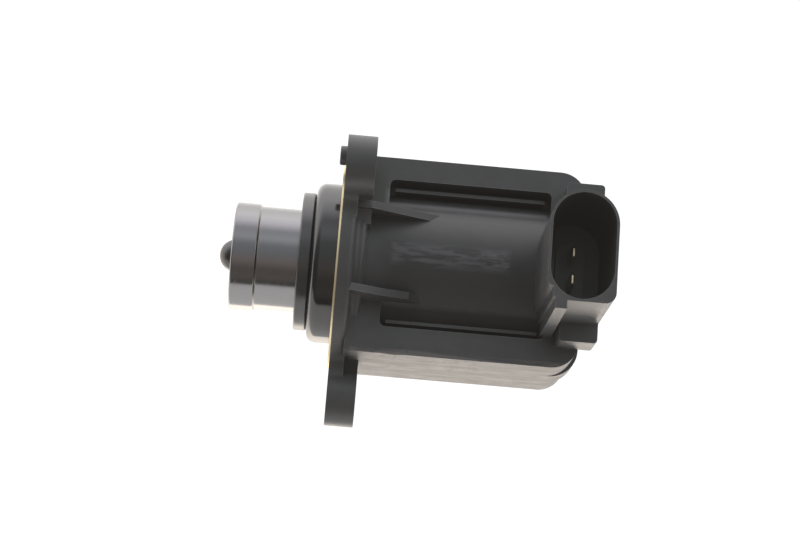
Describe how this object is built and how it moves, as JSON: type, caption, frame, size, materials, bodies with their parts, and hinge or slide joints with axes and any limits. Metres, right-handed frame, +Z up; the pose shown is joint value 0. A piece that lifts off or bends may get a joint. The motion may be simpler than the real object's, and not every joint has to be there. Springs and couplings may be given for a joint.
{
  "type": "air bypass valve",
  "caption": "Solenoid bypass valve: a bolt-on flange with a sliding piston in front, a ribbed rectangular coil housing behind and a plug socket set square to its side.",
  "frame": {"origin": "centre of the flange's mounting face, on the valve axis", "axes": "+X along the valve axis from the mounting face into the coil housing, so the piston points to -X; -Y the way the plug socket opens; +Z up as the valve stands in the picture"},
  "size_m": [0.0831, 0.0717, 0.0597],
  "materials": {
    "housing_plastic": "satin black moulding",
    "sleeve_steel": "plain steel",
    "terminal_brass": "dull brass",
    "bobbin_plastic": "natural plastic",
    "copper": "enamelled copper wire",
    "magnet_steel": "plain soft iron",
    "bush_bronze": "sintered bronze",
    "gloss_black": "glossy black",
    "satin_black": "satin black",
    "seal_rubber": "black rubber",
    "plated_gold": "yellow passivated plate",
    "spring_steel": "drawn wire",
    "anodised_grey": "turned and hard anodised, dark grey",
    "rod_dark": "dark satin"
  },
  "bodies": {
    "valve": {"housing": "housing_plastic", "bolt_sleeve_near": "sleeve_steel", "bolt_sleeve_low": "sleeve_steel", "bolt_sleeve_far": "sleeve_steel", "terminal_upper": "terminal_brass", "terminal_lower": "terminal_brass", "coil_bobbin": "bobbin_plastic", "coil_winding": "copper", "yoke": "magnet_steel", "pole_plate": "magnet_steel", "pole_core": "magnet_steel", "core_shim": "terminal_brass", "guide_tube": "sleeve_steel", "rod_bush": "bush_bronze", "guide_cup": "gloss_black", "seal_retainer": "satin_black", "piston_seal": "seal_rubber", "retaining_plate": "plated_gold", "register_ring": "seal_rubber", "return_spring": "spring_steel"},
    "plunger": {"piston": "anodised_grey", "push_rod": "rod_dark", "armature": "magnet_steel"}
  },
  "joints": [
    {"name": "piston_slide", "type": "slide", "parent": "valve", "child": "plunger", "axis": [1, 0, 0], "range_m": [0, 0.006], "stiffness_N_per_m": 1200, "springref_m": -0.008, "deforming": ["return_spring"]}
  ]
}
